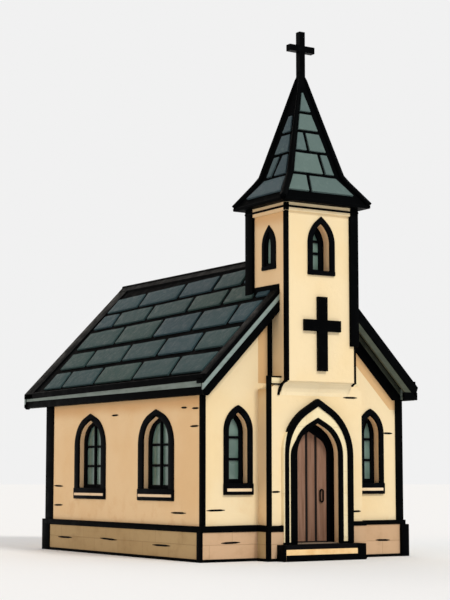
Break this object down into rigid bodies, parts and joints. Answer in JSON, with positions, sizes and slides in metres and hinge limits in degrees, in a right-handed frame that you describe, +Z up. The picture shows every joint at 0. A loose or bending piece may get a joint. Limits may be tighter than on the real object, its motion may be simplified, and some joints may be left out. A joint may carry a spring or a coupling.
{
  "type": "small church building",
  "caption": "Small gabled church with a slate roof, a front tower and slate spire over a pointed door, lancet windows, and a plank door that swings inward.",
  "frame": {"origin": "On the ground under the middle of the building's bounding box.", "axes": "+Z up, the door and tower face -Y, +X is to the right of someone facing the door."},
  "size_m": [6.16, 10.07, 12.87],
  "materials": {
    "cream_render": "matt cream render on masonry",
    "plinth_stone": "matt tan stone",
    "dressed_stone": "matt pale dressed stone",
    "floor_flags": "worn stone flags",
    "floor_timber": "bare boards",
    "slate": "split slate",
    "dark_lead": "near-black lead and painted trim",
    "grey_board": "grey-green paint",
    "black_iron": "black painted iron",
    "dark_frame": "near-black paint",
    "door_planks": "brown stained planks",
    "leaded_glass": "dark grey-green glass"
  },
  "bodies": {
    "building": {"bargeboard_back": "grey_board", "bargeboard_front_left": "grey_board", "bargeboard_front_right": "grey_board", "bay_head": "cream_render", "bay_pier_left": "cream_render", "bay_pier_right": "cream_render", "belfry_floor": "floor_timber", "door_frame": "dark_frame", "door_step": "dressed_stone", "door_surround": "dressed_stone", "eaves_left": "grey_board", "eaves_right": "grey_board", "floor": "floor_flags", "glass_back": "leaded_glass", "glass_front_left": "leaded_glass", "glass_front_right": "leaded_glass", "glass_left_back": "leaded_glass", "glass_left_front": "leaded_glass", "glass_right_back": "leaded_glass", "glass_right_front": "leaded_glass", "glass_tower_front": "leaded_glass", "glass_tower_left": "leaded_glass", "glass_tower_right": "leaded_glass", "lobby_arch": "cream_render", "plinth_back": "plinth_stone", "plinth_left": "plinth_stone", "plinth_right": "plinth_stone", "ridge_cap": "dark_lead", "roof_left": "slate", "roof_right": "slate", "spire": "slate", "spire_cross": "black_iron", "spire_eaves": "dark_lead", "tower_corbel": "cream_render", "tower_cornice": "dressed_stone", "tower_cross": "black_iron", "tower_wall_back": "cream_render", "tower_wall_front": "cream_render", "tower_wall_left": "cream_render", "tower_wall_right": "cream_render", "wall_back": "cream_render", "wall_front_left": "cream_render", "wall_front_right": "cream_render", "wall_left": "cream_render", "wall_right": "cream_render", "window_back": "dark_frame", "window_front_left": "dark_frame", "window_front_right": "dark_frame", "window_left_back": "dark_frame", "window_left_front": "dark_frame", "window_right_back": "dark_frame", "window_right_front": "dark_frame", "window_tower_front": "dark_frame", "window_tower_left": "dark_frame", "window_tower_right": "dark_frame"},
    "door": {"door_handle": "black_iron", "door_leaf": "door_planks"}
  },
  "joints": [
    {"name": "door_hinge", "type": "hinge", "parent": "building", "child": "door", "pos_m": [-0.545, -4.142, 1.6], "axis": [0, 0, 1], "range_deg": [0, 95]}
  ]
}
